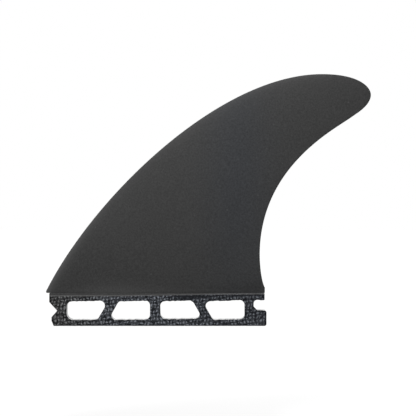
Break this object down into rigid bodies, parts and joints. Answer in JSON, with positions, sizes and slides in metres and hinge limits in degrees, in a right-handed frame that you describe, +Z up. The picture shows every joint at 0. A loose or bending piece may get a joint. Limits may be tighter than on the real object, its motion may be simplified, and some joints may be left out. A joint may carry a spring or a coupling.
{
  "type": "surfboard fin",
  "caption": "Raked, foiled surfboard side fin moulded in one piece with a windowed plug-in tab that has a screw notch in front and a hooked slot behind.",
  "frame": {"origin": "middle of the tab's length and thickness, in the plane of the board's surface", "axes": "+X from the leading edge to the trailing edge, +Z up the blade away from the board, -Y out of the foiled side"},
  "size_m": [0.1723, 0.0064, 0.1331],
  "materials": {
    "matte_coat": "matte, finely grained charcoal coat over the moulded blade",
    "tab_laminate": "bare black woven laminate, satin resin over a fine knotted cloth"
  },
  "bodies": {
    "root": {"fin": "matte_coat"}
  },
  "joints": []
}
